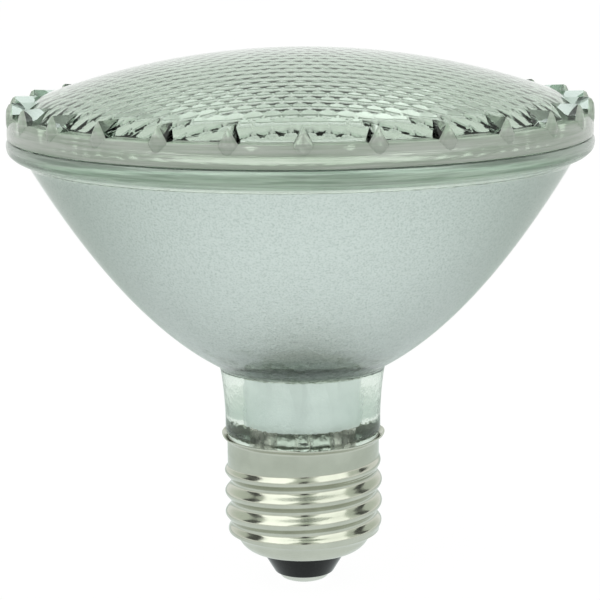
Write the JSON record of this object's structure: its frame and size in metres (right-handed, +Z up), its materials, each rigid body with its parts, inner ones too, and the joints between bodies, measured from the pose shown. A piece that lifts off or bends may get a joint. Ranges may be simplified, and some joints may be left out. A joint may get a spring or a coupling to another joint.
{
  "type": "reflector spotlight bulb",
  "caption": "Parabolic glass reflector spotlight bulb with a domed patterned lens, a short clear neck, a halogen capsule inside and an E26 screw base.",
  "frame": {"origin": "centre of the contact tip at the foot of the screw base", "axes": "+Z up the bulb's axis towards the lens, +X towards the lead that joins the shell"},
  "size_m": [0.0952, 0.0952, 0.0895],
  "materials": {
    "lens_glass": "clear pressed borosilicate glass, faintly green",
    "bowl_glass": "pressed borosilicate glass, silvered inside the bowl",
    "nickel_shell": "nickel-plated rolled brass",
    "black_glass": "black opaque glass",
    "contact_metal": "tinned brass",
    "solder": "satin tin solder",
    "cement": "fired basing cement",
    "ferrule_metal": "nickel-iron",
    "braze_metal": "brazing alloy",
    "tube_glass": "clear borosilicate tube",
    "quartz": "clear fused quartz",
    "tungsten": "drawn tungsten wire",
    "molybdenum": "drawn molybdenum",
    "lead_wire": "nickel wire"
  },
  "bodies": {
    "root": {"lens": "lens_glass", "reflector": "bowl_glass", "screw_shell": "nickel_shell", "insulator": "black_glass", "centre_contact": "contact_metal", "contact_solder": "solder", "base_cement": "cement", "ferrule_left": "ferrule_metal", "ferrule_right": "ferrule_metal", "braze_left": "braze_metal", "braze_right": "braze_metal", "exhaust_tip": "tube_glass", "capsule": "quartz", "filament": "tungsten", "foil_left": "molybdenum", "foil_right": "molybdenum", "inner_lead_short": "molybdenum", "inner_lead_long": "molybdenum", "outer_lead_left": "molybdenum", "outer_lead_right": "molybdenum", "fuse_wire": "lead_wire", "side_wire": "lead_wire"}
  },
  "joints": []
}
